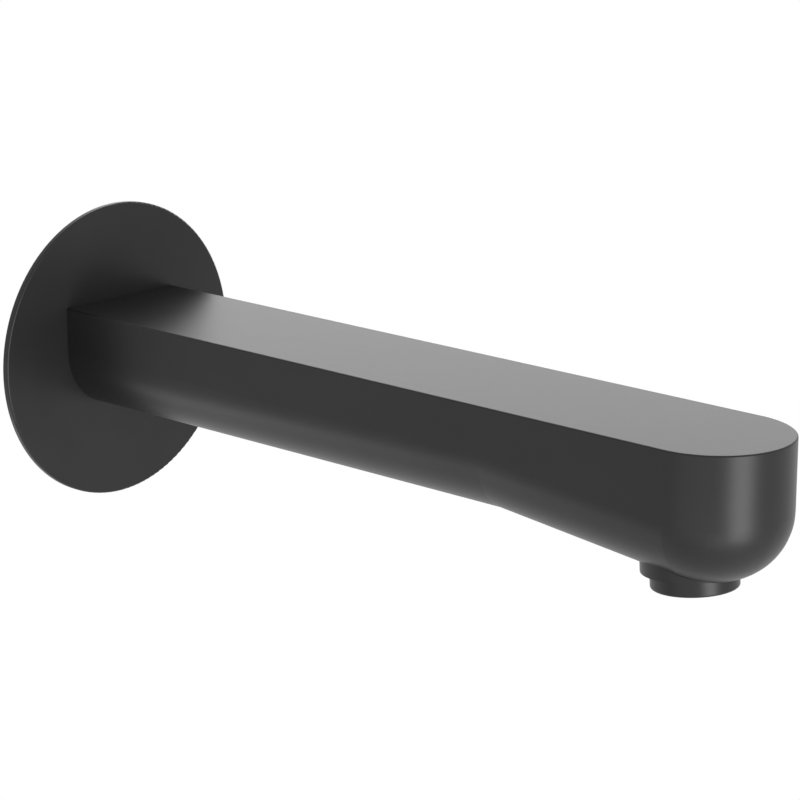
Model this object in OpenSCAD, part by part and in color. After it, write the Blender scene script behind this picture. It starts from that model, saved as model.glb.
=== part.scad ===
// Wall-mounted bath spout: a flat-topped arm with a round nose, on a round cover plate.
// X runs across the arm, +Y into the wall and +Z up.
// The origin is on the wall face, in the middle of the cover plate and of the inlet.

/* [Arm] */
// Width of the arm
arm_w = 36; // [35:0.5:44]
// Height of the flat top above the inlet's centre
arm_top = 13.8; // [13.4:0.1:16]
// Depth of the level underside below the inlet's centre
arm_under = 13.3; // [13:0.1:16]
// Distance from the wall to the tip of the nose
reach = 207; // [206:1:212]
// Radius of the rounding along the underside
corner_r = 15.6; // [12:0.1:16]
// Radius on the edge of the flat top
edge_r = 0.4; // [0.2:0.1:1]
// Distance from the tip of the nose back to where the underside starts to fall
fall_length = 70; // [62:1:86]
// Angle at which the underside falls towards the nose
fall_angle = 5.65; // [5:0.05:6.5]
// Wall of the casting
wall = 2.8; // [2.2:0.1:3.2]
// Radius along the top of the waterway
waterway_top_r = 3; // [1:0.1:5]
// Distance from the wall to the end of the casting's solid inlet
inlet_block = 40; // [37:1:50]

/* [Inlet] */
// Outside diameter of the inlet's pipe thread
thread_d = 20.955; // [20.5:0.005:21.2]
// Length of the pipe thread
thread_l = 14; // [10:0.5:18]
// Length of the relief between the thread and the wall
relief_l = 2; // [1:0.5:4]
// Depth of that relief below the thread
relief_depth = 1.3; // [1:0.1:1.6]
// How far the relief runs past the wall face, so that only the cover plate bears there
relief_inset = 0.4; // [0.2:0.1:1]
// Diameter of the spigot that the casting slides over
spigot_d = 20; // [19.2:0.1:20.4]
// How far the spigot stands out from the wall
spigot_l = 32; // [30:0.5:34]
// Gap between the spigot and its socket, on each side
slip_gap = 0.1; // [0.05:0.01:0.2]
// Gap beyond the spigot's end in its socket
socket_spare = 1.5; // [1:0.5:3]
// Bore from the socket into the waterway
passage_d = 16; // [13:0.5:18]
// Bore for the water through the nipple
nipple_bore = 11.4; // [9:0.1:11.6]
// Size across the flats of the nipple's hexagon for its key
nipple_key = 12; // [11.8:0.1:12.2]
// Depth of that hexagon
nipple_key_depth = 8; // [5:0.5:12]
// Thickness of the sealing rings' cord as fitted
ring_cord = 2.3; // [1.8:0.1:2.4]
// Gap around a sealing ring as fitted
ring_gap = 0.03; // [0.02:0.01:0.05]
// How much wider a ring's groove is than its cord
groove_extra = 0.6; // [0.4:0.1:1]
// Distance from the spigot's end to the first groove
groove_inset = 2.4; // [2:0.1:4]
// Distance between the two grooves' centres
groove_pitch = 6; // [5:0.5:8]
// Size of the lead-in at each end of the nipple and at the socket's mouth
lead_in = 0.8; // [0.4:0.1:1]

/* [Fixing screw] */
// Diameter of the fixing screw, half-way down its thread
screw_d = 4.5; // [3.5:0.1:4.6]
// Distance from the wall to the fixing screw
screw_from_wall = 11; // [9:0.5:14]
// Depth of the groove in the spigot that the screw's tip sits in
lock_depth = 1; // [0.6:0.1:1.2]
// How far the screw's end stays inside the underside
screw_inset = 0.3; // [0.1:0.1:0.8]
// Size across the flats of the screw's hexagon
screw_key = 2.5; // [2:0.1:2.6]
// Depth of that hexagon
screw_key_depth = 2; // [1.5:0.1:2.4]
// Gap between a screwed piece and its hole, on each side
screw_gap = 0.05; // [0.02:0.01:0.1]

/* [Cover plate] */
// Diameter of the cover plate
plate_d = 76; // [72:1:90]
// Thickness of the cover plate
plate_t = 1.6; // [1.2:0.1:2.4]
// Hole through the cover plate
plate_hole = 22; // [21.6:0.1:24]
// Radius on the front edge of the cover plate
plate_edge_r = 0.5; // [0.2:0.1:0.7]
// Thickness of the foam ring behind the cover plate
foam_t = 0.8; // [0.4:0.1:1]
// Outside diameter of the foam ring
foam_d = 68; // [60:1:70]
// Width of the foam ring
foam_w = 11; // [6:0.5:14]
// Gap around the foam ring in its recess
foam_gap = 0.2; // [0.1:0.1:0.5]

/* [Outlet] */
// Distance from the tip of the nose back to the middle of the outlet's face
outlet_inset = 22; // [20:0.5:23]
// Height of the outlet's face above the lowest line of the underside
outlet_rise = 0.65; // [0.25:0.05:1.05]
// Angle by which the stream leans away from the wall
outlet_tilt = 4.5; // [3:0.5:6]
// Diameter of the boss around the outlet
boss_d = 23.8; // [23:0.1:25]
// Depth of the outlet's thread
outlet_thread_depth = 7; // [6.5:0.1:8]
// Thickness of the shoulder above the outlet's thread
shoulder_t = 1.6; // [1:0.1:2]
// Bore of that shoulder
shoulder_bore = 13.6; // [13.4:0.1:14]
// Diameter of the outlet ring's screwed part, half-way down its thread
outlet_thread_d = 17.4; // [17:0.1:17.6]
// Diameter of the outlet ring where it shows
collar_d = 19.7; // [19.2:0.1:20.4]
// Height of the outlet ring where it shows
collar_h = 3.85; // [3:0.05:5]
// Radius on the lower edge of the outlet ring
collar_edge_r = 0.5; // [0.2:0.1:0.8]
// Gap around the outlet ring where the nose is cut away for it
collar_gap = 0.5; // [0.3:0.1:0.8]
// Bore of the outlet ring, which holds the strainer cup
ring_bore = 15.4; // [15:0.1:15.6]
// Width of the lip under the strainer cup
lip_w = 0.7; // [0.5:0.1:0.9]
// Thickness of that lip
lip_t = 0.7; // [0.5:0.1:1]
// Thickness of the flat washer above the outlet ring
washer_t = 1.5; // [1:0.1:1.8]

/* [Strainer] */
// Gap between the cup and the ring around it, on each side
cup_gap = 0.1; // [0.05:0.01:0.15]
// Wall of the cup
cup_wall = 0.8; // [0.6:0.1:0.9]
// Thickness of the cup's honeycomb
comb_t = 2; // [1.5:0.1:3]
// Size across the flats of one honeycomb hole
comb_hole = 1.5; // [1.2:0.1:1.6]
// Thickness of the webs between the honeycomb's holes
comb_web = 0.35; // [0.3:0.05:0.5]
// Thickness of the jet plate
jet_t = 1.6; // [1.2:0.1:2]
// Diameter of one jet
jet_d = 1.1; // [0.8:0.1:1.3]
// Diameter of the ring of jets
jet_ring_d = 8.6; // [8:0.1:9]
// Number of jets
jet_count = 12; // [8:1:14]
// Outside diameter of the strainer's cap
cap_d = 12.6; // [12:0.1:12.8]
// Height of the strainer's cap
cap_h = 2.4; // [2:0.1:3]
// Wall of the strainer's cap
cap_wall = 0.7; // [0.5:0.1:0.8]
// Diameter of one hole in the strainer's cap
cap_hole = 0.9; // [0.7:0.1:1.2]

/* [Hidden] */
$fn = 96;

// How far a cut runs past the face that it opens
over = 0.5;
half_w = arm_w / 2;
nose_y = reach - half_w;
fall_start = reach - fall_length;
under_fall = (nose_y - fall_start) * tan(fall_angle);
// The falling stretch starts inside the level one and ends past the nose's middle
fall_lap = 2;
fall_l = (nose_y - fall_start) / cos(fall_angle) + 2 * fall_lap;
// Its sides stay just inside the level ones, and it is only as high as its rounding and its fall
fall_side = 0.01;
fall_h = corner_r + under_fall + 0.2;

socket_r = spigot_d / 2 + slip_gap;
socket_end = spigot_l + socket_spare;
groove_r = socket_r - ring_cord - 2 * ring_gap;
groove_w = ring_cord + groove_extra;
groove_at = spigot_l - groove_inset - groove_w / 2;
lock_r = spigot_d / 2 - lock_depth;

outlet_reach = reach - outlet_inset;
outlet_drop = arm_under + under_fall - outlet_rise;
outlet_bore_r = outlet_thread_d / 2 + screw_gap;
ring_top = outlet_thread_depth - washer_t;
cup_r = ring_bore / 2 - cup_gap;
cup_base = lip_t - collar_h;
jet_base = ring_top - jet_t;
comb_pitch = comb_hole + comb_web;
comb_rings = floor((cup_r - cup_wall - comb_hole / 2) / comb_pitch);
cap_pitch = 2 * cap_hole;
cap_rings = floor((cap_d / 2 - cap_wall - cap_hole / 2) / cap_pitch);

satin_black = "#2a2a2c";
bare_brass = "#b5914f";

// Corner radius of a hexagon from its size across the flats
function hexagon_r(flats) = flats / 2 / cos(30);

// The corner that is left over outside a rounding of radius r
module corner_waste(r) {
    difference() {
        translate([-over, -over]) square(r + over);
        translate([r, r]) circle(r);
    }
}

// Flat-sided outline of half-width w with its two lower corners rounded
module low_outline(w, low, top, r) {
    difference() {
        translate([-w, low]) square([2 * w, top - low]);
        for (side = [0, 1]) mirror([side, 0]) translate([-w, low]) corner_waste(r);
    }
}

// Outline across the arm, drawn in by inset, with its top edges rounded too
module arm_outline(inset, top_r) {
    top = arm_top - inset;
    difference() {
        low_outline(half_w - inset, inset - arm_under, top, corner_r - inset);
        for (side = [0, 1]) mirror([side, 0])
            translate([inset - half_w, top]) mirror([0, 1]) corner_waste(top_r);
    }
}

// Right half of that outline at the nose, where the underside is lower
module nose_outline(inset, top_r) {
    w = half_w - inset;
    low = inset - arm_under - under_fall;
    top = arm_top - inset;
    difference() {
        translate([0, low]) square([w, top - low]);
        translate([w, low]) mirror([1, 0]) corner_waste(corner_r - inset);
        translate([w, top]) rotate(180) corner_waste(top_r);
    }
}

// Lays what is drawn along +Z along the arm instead, starting at the distance start
module along_arm(start) {
    translate([0, -start, 0]) rotate([90, 0, 0]) children();
}

// Outer form of the arm, or of the waterway inside it when inset is the wall
module arm_form(inset, start, top_r) {
    along_arm(start) linear_extrude(nose_y - start) arm_outline(inset, top_r);
    intersection() {
        translate([0, -fall_start, -arm_under]) rotate([fall_angle, 0, 0])
            along_arm(-fall_lap) linear_extrude(fall_l)
                low_outline(half_w - inset - fall_side, inset, fall_h, corner_r - inset);
        translate([-arm_w, -nose_y, -reach]) cube([2 * arm_w, reach, 2 * reach]);
    }
    translate([0, -nose_y, 0]) rotate([0, 0, 180])
        rotate_extrude(angle = 180) nose_outline(inset, top_r);
}

// Places its children on the outlet's axis, with +Z up into the casting
module at_outlet() {
    translate([0, -outlet_reach, -outlet_drop]) rotate([-outlet_tilt, 0, 0]) children();
}

// A cylinder from one height to another
module post(r, low, high) {
    translate([0, 0, low]) cylinder(r = r, h = high - low);
}

// A ring from one height to another
module collar(outer_r, inner_r, low, high) {
    difference() {
        post(outer_r, low, high);
        post(inner_r, low - over, high + over);
    }
}

// A cone that widens by size over size, from the radius r
module lead(r, size, at) {
    translate([0, 0, at]) cylinder(r1 = r, r2 = r + size, h = size);
}

// Cast arm with its waterway, outlet boss, spigot socket and screw hole
module spout_body() {
    color(satin_black) difference() {
        union() {
            difference() {
                arm_form(0, plate_t, edge_r);
                arm_form(wall, inlet_block, waterway_top_r);
            }
            at_outlet() post(boss_d / 2, 0, outlet_thread_depth + shoulder_t);
        }
        along_arm(0) {
            post(socket_r, plate_t - over, socket_end);
            post(passage_d / 2, socket_end - over, inlet_block + over);
            translate([0, 0, plate_t + lead_in]) mirror([0, 0, 1]) lead(socket_r, lead_in + over, 0);
        }
        translate([0, -screw_from_wall, 0])
            post(screw_d / 2 + screw_gap, -arm_under - over, over - socket_r);
        at_outlet() {
            post(outlet_bore_r, -over, outlet_thread_depth);
            post(shoulder_bore / 2, -over, outlet_thread_depth + shoulder_t + over);
            post(collar_d / 2 + collar_gap, -collar_h - over, 0);
        }
    }
}

// Round plate that covers the hole in the wall, with a recess behind it for the foam ring
module cover_plate() {
    foam_r = foam_d / 2;
    color(satin_black) along_arm(0) rotate_extrude() difference() {
        translate([plate_hole / 2, 0]) square([(plate_d - plate_hole) / 2, plate_t]);
        translate([plate_d / 2, plate_t]) rotate(180) corner_waste(plate_edge_r);
        translate([foam_r - foam_w - foam_gap, -over])
            square([foam_w + 2 * foam_gap, foam_t + over]);
    }
}

// Foam ring that seals the cover plate to the wall
module foam_ring() {
    color("#3a3a3a") along_arm(0) collar(foam_d / 2, foam_d / 2 - foam_w, 0, foam_t);
}

// Nipple that is screwed into the wall and carries the arm on its spigot
module wall_nipple() {
    thread_r = thread_d / 2;
    thread_end = -relief_l - thread_l;
    color(bare_brass) along_arm(0) difference() {
        union() {
            post(thread_r, thread_end + lead_in, -relief_l);
            translate([0, 0, thread_end]) cylinder(r1 = thread_r - lead_in, r2 = thread_r, h = lead_in);
            post(thread_r - relief_depth, -relief_l - over, relief_inset + over);
            post(spigot_d / 2, relief_inset, spigot_l - lead_in);
            translate([0, 0, spigot_l - lead_in])
                cylinder(r1 = spigot_d / 2, r2 = spigot_d / 2 - lead_in, h = lead_in);
        }
        post(nipple_bore / 2, thread_end - over, spigot_l + over);
        translate([0, 0, spigot_l - nipple_key_depth])
            cylinder(r = hexagon_r(nipple_key), h = nipple_key_depth + over, $fn = 6);
        for (k = [0, 1]) translate([0, 0, groove_at - k * groove_pitch])
            collar(spigot_d, groove_r, -groove_w / 2, groove_w / 2);
        collar(spigot_d, lock_r, screw_from_wall - screw_d / 2, screw_from_wall + screw_d / 2);
    }
}

// Rubber ring in one of the spigot's grooves, counted from the spigot's end
module o_ring(k) {
    color("#141414") along_arm(groove_at - k * groove_pitch)
        rotate_extrude() translate([groove_r + ring_gap + ring_cord / 2, 0]) circle(ring_cord / 2);
}

module inner_o_ring() { o_ring(1); }
module outer_o_ring() { o_ring(0); }

// Headless screw that locks the arm on the spigot from below
module fixing_screw() {
    low = screw_inset - arm_under;
    tip = -lock_r - screw_gap;
    point_h = screw_d / 4;
    color("#4a4a4c") translate([0, -screw_from_wall, 0]) difference() {
        union() {
            post(screw_d / 2, low, tip - point_h);
            translate([0, 0, tip - point_h])
                cylinder(r1 = screw_d / 2, r2 = screw_d / 2 - point_h, h = point_h);
        }
        translate([0, 0, low - over])
            cylinder(r = hexagon_r(screw_key), h = screw_key_depth + over, $fn = 6);
    }
}

// Ring that screws into the boss and holds the strainer
module outlet_ring() {
    color(satin_black) at_outlet() difference() {
        union() {
            translate([0, 0, -collar_h]) rotate_extrude() difference() {
                square([collar_d / 2, collar_h]);
                translate([collar_d / 2, 0]) mirror([1, 0]) corner_waste(collar_edge_r);
            }
            post(outlet_thread_d / 2, -over, ring_top);
        }
        post(ring_bore / 2, cup_base, ring_top + over);
        post(ring_bore / 2 - lip_w, -collar_h - over, ring_top);
    }
}

// Flat rubber washer between the outlet ring and the casting's shoulder
module outlet_washer() {
    color("#141414") at_outlet()
        collar(outlet_thread_d / 2, shoulder_bore / 2, ring_top, outlet_thread_depth);
}

// Places its children in rings on a six-sided grid
module six_sided_grid(rings, pitch) {
    for (row = [-rings:rings], place = [max(-rings, -row - rings):min(rings, rings - row)])
        translate([pitch * (place + row / 2), pitch * row * sin(60)]) children();
}

// Cup with the honeycomb that the water leaves through
module strainer_cup() {
    color("#1c1c1e") at_outlet() difference() {
        post(cup_r, cup_base, jet_base);
        post(cup_r - cup_wall, cup_base + comb_t, jet_base + over);
        translate([0, 0, cup_base - over]) linear_extrude(comb_t + 2 * over)
            six_sided_grid(comb_rings, comb_pitch) rotate(30) circle(hexagon_r(comb_hole), $fn = 6);
    }
}

// Plate that splits the water into jets inside the cup
module jet_plate() {
    color("#d8d8d4") at_outlet() difference() {
        post(cup_r, jet_base, ring_top);
        for (k = [0:jet_count - 1]) rotate(360 / jet_count * k)
            translate([jet_ring_d / 2, 0]) post(jet_d / 2, jet_base - over, ring_top + over);
    }
}

// Perforated cap that keeps grit out of the jets
module strainer_cap() {
    color("#d8d8d4") at_outlet() translate([0, 0, ring_top]) difference() {
        post(cap_d / 2, 0, cap_h);
        post(cap_d / 2 - cap_wall, -over, cap_h - cap_wall);
        six_sided_grid(cap_rings, cap_pitch) post(cap_hole / 2, 0, cap_h + over);
    }
}

spout_body();
cover_plate();
foam_ring();
wall_nipple();
inner_o_ring();
outer_o_ring();
fixing_screw();
outlet_ring();
outlet_washer();
strainer_cup();
jet_plate();
strainer_cap();
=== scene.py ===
"""Looks of a wall-mounted bath spout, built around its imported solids."""

import logging
import math
from dataclasses import dataclass, field
from enum import Enum

import bmesh
import bpy
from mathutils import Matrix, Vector


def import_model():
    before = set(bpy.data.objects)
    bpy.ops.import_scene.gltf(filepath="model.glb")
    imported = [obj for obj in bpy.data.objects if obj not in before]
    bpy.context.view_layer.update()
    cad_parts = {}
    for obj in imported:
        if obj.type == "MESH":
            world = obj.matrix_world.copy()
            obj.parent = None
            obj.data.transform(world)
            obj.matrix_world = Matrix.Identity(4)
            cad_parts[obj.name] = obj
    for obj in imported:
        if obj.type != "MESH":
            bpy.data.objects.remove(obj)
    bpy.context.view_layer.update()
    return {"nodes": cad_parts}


log = logging.getLogger("spout")

Colour = tuple[float, float, float]
Point = tuple[float, float, float]

MM = 0.001


class Texture(Enum):
    """Which of Blender's procedural textures a grain is made from."""

    NOISE = "ShaderNodeTexNoise"
    CELLS = "ShaderNodeTexVoronoi"


class MaterialBuilder:
    """Lays out the nodes of one material on Object coordinates."""

    def __init__(self, name: str) -> None:
        """Starts a material with a single principled shader.

        Args:
            name: The material's name.
        """
        self.material = bpy.data.materials.new(name)
        self.material.use_nodes = True
        self.tree = self.material.node_tree
        self.shader = self.tree.nodes["Principled BSDF"]
        self.coordinates = self.tree.nodes.new("ShaderNodeTexCoord")

    def set(self, **values: float | Colour) -> None:
        """Sets constant values on the shader's own sockets.

        Args:
            **values: Socket names, with spaces as underscores, and their values.
        """
        for name, value in values.items():
            socket = self.shader.inputs[name.replace("_", " ")]
            socket.default_value = (*value, 1.0) if isinstance(value, tuple) else value

    def stretched(self, scale: Point) -> bpy.types.NodeSocket:
        """Object coordinates stretched along each axis.

        Args:
            scale: The factor along X, Y and Z.

        Returns:
            The socket that holds the stretched coordinates.
        """
        mapping = self.tree.nodes.new("ShaderNodeMapping")
        mapping.inputs["Scale"].default_value = scale
        self.tree.links.new(self.coordinates.outputs["Object"], mapping.inputs["Vector"])
        return mapping.outputs["Vector"]

    def grain(
        self,
        texture: Texture,
        per_metre: float,
        detail: float = 2.0,
        stretch: Point = (1.0, 1.0, 1.0),
    ) -> bpy.types.NodeSocket:
        """A grey pattern fixed to the piece.

        Args:
            texture: The kind of pattern.
            per_metre: How many of its features there are in a metre.
            detail: How many finer layers a noise has.
            stretch: The factor along X, Y and Z before the pattern is read.

        Returns:
            The socket that holds the pattern, from 0 to 1.
        """
        node = self.tree.nodes.new(texture.value)
        node.inputs["Scale"].default_value = per_metre
        self.tree.links.new(self.stretched(stretch), node.inputs["Vector"])
        if texture is Texture.NOISE:
            node.inputs["Detail"].default_value = detail
            return node.outputs["Fac"]
        return node.outputs["Distance"]

    def range_of(
        self, pattern: bpy.types.NodeSocket, low: float, high: float
    ) -> bpy.types.NodeSocket:
        """Turns a pattern into numbers between two limits.

        Args:
            pattern: The pattern to read.
            low: The number where the pattern is darkest.
            high: The number where it is brightest.

        Returns:
            The socket that holds the numbers.
        """
        node = self.tree.nodes.new("ShaderNodeMapRange")
        node.inputs["From Min"].default_value = 0.3
        node.inputs["From Max"].default_value = 0.7
        node.inputs["To Min"].default_value = low
        node.inputs["To Max"].default_value = high
        self.tree.links.new(pattern, node.inputs["Value"])
        return node.outputs["Result"]

    def tint(self, pattern: bpy.types.NodeSocket, dark: Colour, light: Colour) -> None:
        """Colours the surface from a pattern.

        Args:
            pattern: The pattern to read.
            dark: The colour where the pattern is darkest.
            light: The colour where it is brightest.
        """
        ramp = self.tree.nodes.new("ShaderNodeValToRGB")
        ramp.color_ramp.elements[0].position = 0.3
        ramp.color_ramp.elements[0].color = (*dark, 1.0)
        ramp.color_ramp.elements[1].position = 0.7
        ramp.color_ramp.elements[1].color = (*light, 1.0)
        self.tree.links.new(pattern, ramp.inputs["Fac"])
        self.tree.links.new(ramp.outputs["Color"], self.shader.inputs["Base Color"])

    def roughen(self, pattern: bpy.types.NodeSocket, low: float, high: float) -> None:
        """Varies the roughness with a pattern between two limits."""
        result = self.range_of(pattern, low, high)
        self.tree.links.new(result, self.shader.inputs["Roughness"])

    def bump(self, *layers: tuple[bpy.types.NodeSocket, float]) -> None:
        """Raises the surface by one or more patterns.

        Args:
            *layers: Each pattern with the height of its relief in metres.
        """
        normal = None
        for pattern, height in layers:
            node = self.tree.nodes.new("ShaderNodeBump")
            node.inputs["Strength"].default_value = 1.0
            node.inputs["Distance"].default_value = height
            self.tree.links.new(pattern, node.inputs["Height"])
            if normal is not None:
                self.tree.links.new(normal, node.inputs["Normal"])
            normal = node.outputs["Normal"]
        self.tree.links.new(normal, self.shader.inputs["Normal"])


@dataclass(frozen=True)
class SatinCoating:
    """Satin black coating with a faint orange peel and a fine tooth."""

    name: str = "satin_black_coating"
    dark: Colour = (0.0125, 0.0125, 0.0130)
    light: Colour = (0.0155, 0.0155, 0.0160)
    roughness: tuple[float, float] = (0.36, 0.40)
    index: float = 1.35
    peel_per_metre: float = 420.0
    peel_height: float = 0.000006
    tooth_per_metre: float = 5200.0
    tooth_height: float = 0.0000012

    def build(self) -> bpy.types.Material:
        """Makes the material."""
        m = MaterialBuilder(self.name)
        m.set(Metallic=0.0, IOR=self.index)
        cloud = m.grain(Texture.NOISE, 60.0, 3.0)
        peel = m.grain(Texture.NOISE, self.peel_per_metre, 1.0)
        tooth = m.grain(Texture.NOISE, self.tooth_per_metre, 3.0)
        m.tint(cloud, self.dark, self.light)
        m.roughen(tooth, *self.roughness)
        m.bump((peel, self.peel_height), (tooth, self.tooth_height))
        return m.material


@dataclass(frozen=True)
class TurnedBrass:
    """Bare brass with the fine rings that turning leaves."""

    name: str = "turned_brass"
    dark: Colour = (0.52, 0.34, 0.13)
    light: Colour = (0.66, 0.46, 0.20)
    roughness: tuple[float, float] = (0.24, 0.36)

    def build(self) -> bpy.types.Material:
        """Makes the material."""
        m = MaterialBuilder(self.name)
        m.set(Metallic=1.0)
        cloud = m.grain(Texture.NOISE, 140.0, 4.0)
        rings = m.grain(Texture.NOISE, 1.0, 2.0, (40.0, 9000.0, 40.0))
        m.tint(cloud, self.dark, self.light)
        m.roughen(cloud, *self.roughness)
        m.bump((rings, 0.0000015))
        return m.material


@dataclass(frozen=True)
class PlainSteel:
    """Plain stainless steel, a little dulled."""

    name: str = "plain_steel"
    dark: Colour = (0.30, 0.30, 0.31)
    light: Colour = (0.42, 0.42, 0.43)
    roughness: tuple[float, float] = (0.28, 0.42)

    def build(self) -> bpy.types.Material:
        """Makes the material."""
        m = MaterialBuilder(self.name)
        m.set(Metallic=1.0)
        cloud = m.grain(Texture.NOISE, 900.0, 4.0)
        m.tint(cloud, self.dark, self.light)
        m.roughen(cloud, *self.roughness)
        m.bump((cloud, 0.000002))
        return m.material


@dataclass(frozen=True)
class MouldedRubber:
    """Black rubber with a dull moulded skin."""

    name: str = "moulded_rubber"
    dark: Colour = (0.010, 0.010, 0.010)
    light: Colour = (0.018, 0.018, 0.018)
    roughness: tuple[float, float] = (0.55, 0.7)

    def build(self) -> bpy.types.Material:
        """Makes the material."""
        m = MaterialBuilder(self.name)
        m.set(Metallic=0.0, IOR=1.5)
        cloud = m.grain(Texture.NOISE, 500.0, 3.0)
        m.tint(cloud, self.dark, self.light)
        m.roughen(cloud, *self.roughness)
        m.bump((cloud, 0.000004))
        return m.material


@dataclass(frozen=True)
class ClosedCellFoam:
    """Dark foam whose cut skin shows its small cells."""

    name: str = "closed_cell_foam"
    dark: Colour = (0.016, 0.016, 0.017)
    light: Colour = (0.055, 0.055, 0.058)
    roughness: tuple[float, float] = (0.8, 0.95)
    cells_per_metre: float = 1900.0

    def build(self) -> bpy.types.Material:
        """Makes the material."""
        m = MaterialBuilder(self.name)
        m.set(Metallic=0.0, IOR=1.4)
        cells = m.grain(Texture.CELLS, self.cells_per_metre)
        m.tint(cells, self.dark, self.light)
        m.roughen(cells, *self.roughness)
        m.bump((cells, 0.00008))
        return m.material


@dataclass(frozen=True)
class MouldedPlastic:
    """Moulded plastic with a fine spark-eroded texture."""

    name: str
    dark: Colour
    light: Colour
    roughness: tuple[float, float] = (0.38, 0.5)

    def build(self) -> bpy.types.Material:
        """Makes the material."""
        m = MaterialBuilder(self.name)
        m.set(Metallic=0.0, IOR=1.5)
        cloud = m.grain(Texture.NOISE, 120.0, 2.0)
        tooth = m.grain(Texture.NOISE, 4200.0, 2.0)
        m.tint(cloud, self.dark, self.light)
        m.roughen(tooth, *self.roughness)
        m.bump((tooth, 0.000002))
        return m.material


class Finish(Enum):
    """Every finish that a piece of the spout can take."""

    COATING = SatinCoating()
    BRASS = TurnedBrass()
    STEEL = PlainSteel()
    RUBBER = MouldedRubber()
    FOAM = ClosedCellFoam()
    DARK_PLASTIC = MouldedPlastic("dark_plastic", (0.014, 0.014, 0.015), (0.020, 0.020, 0.021))
    PALE_PLASTIC = MouldedPlastic("pale_plastic", (0.66, 0.66, 0.64), (0.74, 0.74, 0.72))


class FinishShelf:
    """Makes each finish once and hands it to the pieces."""

    def __init__(self) -> None:
        """Starts with no finish made."""
        self.made: dict[Finish, bpy.types.Material] = {}

    def take(self, finish: Finish) -> bpy.types.Material:
        """The material of a finish, made when it is first asked for."""
        if finish not in self.made:
            self.made[finish] = finish.value.build()
        return self.made[finish]

    def dress(self, piece: bpy.types.Object, finish: Finish) -> None:
        """Gives a piece one finish all over.

        Args:
            piece: The mesh object to dress.
            finish: The finish that it takes.
        """
        piece.data.materials.clear()
        piece.data.materials.append(self.take(finish))


class SpoutPart:
    """What the sub-assemblies share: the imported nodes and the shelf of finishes."""

    def __init__(self, nodes: dict[str, bpy.types.Object], shelf: FinishShelf) -> None:
        """Keeps what the sub-assembly dresses.

        Args:
            nodes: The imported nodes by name.
            shelf: Where the finishes come from.
        """
        self.nodes = nodes
        self.shelf = shelf

    def dress_node(self, name: str, finish: Finish) -> None:
        """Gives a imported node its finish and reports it."""
        self.shelf.dress(self.nodes[name], finish)
        log.info("%s dressed in %s", name, finish.name.lower())


class Casting(SpoutPart):
    """The coated casting and the screw that locks it on its spigot."""

    def dress(self) -> None:
        """Gives the casting and its screw their finishes."""
        self.dress_node("spout_body", Finish.COATING)
        self.dress_node("fixing_screw", Finish.STEEL)


class WallCover(SpoutPart):
    """The cover plate and the foam ring behind it."""

    def dress(self) -> None:
        """Gives the plate and the foam their finishes."""
        self.dress_node("cover_plate", Finish.COATING)
        self.dress_node("foam_ring", Finish.FOAM)


class Inlet(SpoutPart):
    """The nipple in the wall and its sealing rings."""

    def dress(self) -> None:
        """Gives the nipple and the rings their finishes."""
        self.dress_node("wall_nipple", Finish.BRASS)
        self.dress_node("inner_o_ring", Finish.RUBBER)
        self.dress_node("outer_o_ring", Finish.RUBBER)


class Outlet(SpoutPart):
    """The outlet ring with its washer and strainer."""

    def dress(self) -> None:
        """Gives the ring, the washer and the strainer their finishes."""
        self.dress_node("outlet_ring", Finish.COATING)
        self.dress_node("outlet_washer", Finish.RUBBER)
        self.dress_node("strainer_cup", Finish.DARK_PLASTIC)
        self.dress_node("jet_plate", Finish.PALE_PLASTIC)
        self.dress_node("strainer_cap", Finish.PALE_PLASTIC)


@dataclass(frozen=True)
class Softbox:
    """A square lamp that faces the spout.

    Attributes:
        name: What the lamp is called.
        azimuth: Its bearing from the spout in degrees, from the front towards the right.
        elevation: Its height above the spout in degrees.
        width: Its width in metres.
        height: Its height in metres.
        level: The brightness of its face.
    """

    name: str
    azimuth: float
    elevation: float
    width: float
    height: float
    level: float


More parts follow.
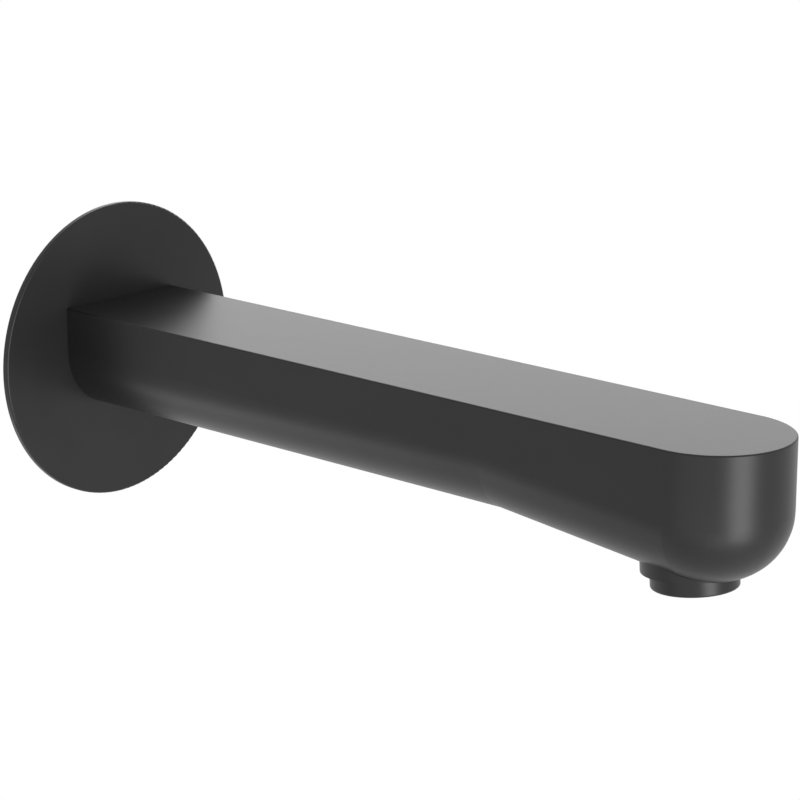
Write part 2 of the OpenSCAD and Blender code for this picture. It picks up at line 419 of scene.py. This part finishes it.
@dataclass
class Studio:
    """The floor, the lamps, the surroundings and the camera."""

    aim: Vector = field(default_factory=lambda: Vector((0.0, -0.11, 0.0)))
    lamp_distance: float = 1.0
    floor_drop: float = 0.62
    floor_radius: float = 14.0
    surround: float = 0.35
    camera_place: Point = (-0.4781, -0.5326, 0.1821)
    camera_aim: Point = (0.04905, -0.0540, -0.01404)
    lens_mm: float = 128.27
    sensor_mm: float = 36.0
    lamps: tuple[Softbox, ...] = (
        Softbox("back_box", 132.0, 16.0, 0.9, 0.35, 1.7),
        Softbox("back_upper_box", 132.0, 38.0, 0.9, 0.4, 0.5),
        Softbox("under_left_box", -155.0, -40.0, 0.7, 0.25, 2.2),
        Softbox("left_box", -78.0, -8.0, 0.8, 0.8, 0.65),
        Softbox("front_box", -12.8, -8.0, 0.45, 0.8, 8.0),
        Softbox("front_low_box", -40.0, -35.0, 0.6, 0.3, 2.0),
    )

    def white_backdrop(
        self, tree: bpy.types.NodeTree, lit: bpy.types.NodeSocket, kind: str
    ) -> bpy.types.NodeSocket:
        """Shows plain white to the camera and in reflections, and lit to everything else.

        Args:
            tree: The node tree to add to.
            lit: The shader that lights the spout.
            kind: The node type of the plain white shader.

        Returns:
            The socket of the mixed shader.
        """
        path = tree.nodes.new("ShaderNodeLightPath")
        seen = path.outputs["Is Camera Ray"]
        for name in ("Is Glossy Ray", "Is Transmission Ray"):
            either = tree.nodes.new("ShaderNodeMath")
            either.operation = "MAXIMUM"
            tree.links.new(seen, either.inputs[0])
            tree.links.new(path.outputs[name], either.inputs[1])
            seen = either.outputs[0]
        white = tree.nodes.new(kind)
        white.inputs["Color"].default_value = (1.0, 1.0, 1.0, 1.0)
        white.inputs["Strength"].default_value = 1.0
        mix = tree.nodes.new("ShaderNodeMixShader")
        tree.links.new(seen, mix.inputs[0])
        tree.links.new(lit, mix.inputs[1])
        tree.links.new(white.outputs[0], mix.inputs[2])
        return mix.outputs[0]

    def build_floor(self) -> None:
        """Makes the pale floor well below the spout."""
        mesh = bpy.data.meshes.new("studio_floor")
        form = bmesh.new()
        bmesh.ops.create_circle(form, cap_ends=True, radius=self.floor_radius, segments=96)
        bmesh.ops.translate(form, verts=form.verts, vec=(0.0, 0.0, -self.floor_drop))
        form.to_mesh(mesh)
        form.free()
        floor = bpy.data.objects.new("studio_floor", mesh)
        bpy.context.scene.collection.objects.link(floor)
        material = bpy.data.materials.new("pale_floor")
        material.use_nodes = True
        tree = material.node_tree
        shader = tree.nodes["Principled BSDF"]
        shader.inputs["Base Color"].default_value = (0.8, 0.8, 0.8, 1.0)
        shader.inputs["Roughness"].default_value = 0.9
        mixed = self.white_backdrop(tree, shader.outputs["BSDF"], "ShaderNodeEmission")
        tree.links.new(mixed, tree.nodes["Material Output"].inputs["Surface"])
        mesh.materials.append(material)
        log.info("studio_floor built")

    def build_surround(self) -> None:
        """Sets the even light around the spout and the white behind it."""
        world = bpy.data.worlds.new("studio_surround")
        bpy.context.scene.world = world
        world.use_nodes = True
        tree = world.node_tree
        lit = tree.nodes["Background"]
        lit.inputs["Color"].default_value = (1.0, 1.0, 1.0, 1.0)
        lit.inputs["Strength"].default_value = self.surround
        mixed = self.white_backdrop(tree, lit.outputs[0], "ShaderNodeBackground")
        tree.links.new(mixed, tree.nodes["World Output"].inputs["Surface"])

    def build_lamp(self, box: Softbox) -> None:
        """Hangs one softbox so that it faces the spout.

        Args:
            box: The lamp's place, size and brightness.
        """
        data = bpy.data.lights.new(box.name, "AREA")
        data.shape = "RECTANGLE"
        data.size = box.width
        data.size_y = box.height
        data.energy = box.level * math.pi * box.width * box.height
        turn, rise = math.radians(box.azimuth), math.radians(box.elevation)
        away = Vector(
            (
                math.sin(turn) * math.cos(rise),
                -math.cos(turn) * math.cos(rise),
                math.sin(rise),
            )
        )
        lamp = bpy.data.objects.new(box.name, data)
        lamp.location = self.aim + away * self.lamp_distance
        lamp.rotation_euler = away.to_track_quat("Z", "Y").to_euler()
        lamp.visible_camera = False
        bpy.context.scene.collection.objects.link(lamp)
        log.info("%s hung", box.name)

    def build_camera(self) -> None:
        """Places the camera at the photograph's viewing angle."""
        data = bpy.data.cameras.new("photo_camera")
        data.sensor_width = self.sensor_mm
        data.lens = self.lens_mm
        data.clip_start = 0.01
        data.clip_end = 100.0
        camera = bpy.data.objects.new("photo_camera", data)
        place = Vector(self.camera_place)
        away = place - Vector(self.camera_aim)
        camera.location = place
        camera.rotation_euler = away.to_track_quat("Z", "Y").to_euler()
        bpy.context.scene.collection.objects.link(camera)
        bpy.context.scene.camera = camera
        log.info("photo_camera placed")

    def build(self) -> None:
        """Builds the whole studio."""
        bpy.context.scene.view_settings.view_transform = "Standard"
        self.build_floor()
        self.build_surround()
        for box in self.lamps:
            self.build_lamp(box)
        self.build_camera()


def main() -> None:
    """Loads the frame, builds each sub-assembly in order and lights it."""
    logging.basicConfig(level=logging.INFO, format="%(name)s: %(message)s")
    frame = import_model()
    nodes = frame["nodes"]
    shelf = FinishShelf()
    for part in (Casting, WallCover, Inlet, Outlet):
        part(nodes, shelf).dress()
        log.info("%s done", part.__name__)
    Studio().build()


if __name__ == "__main__":
    main()
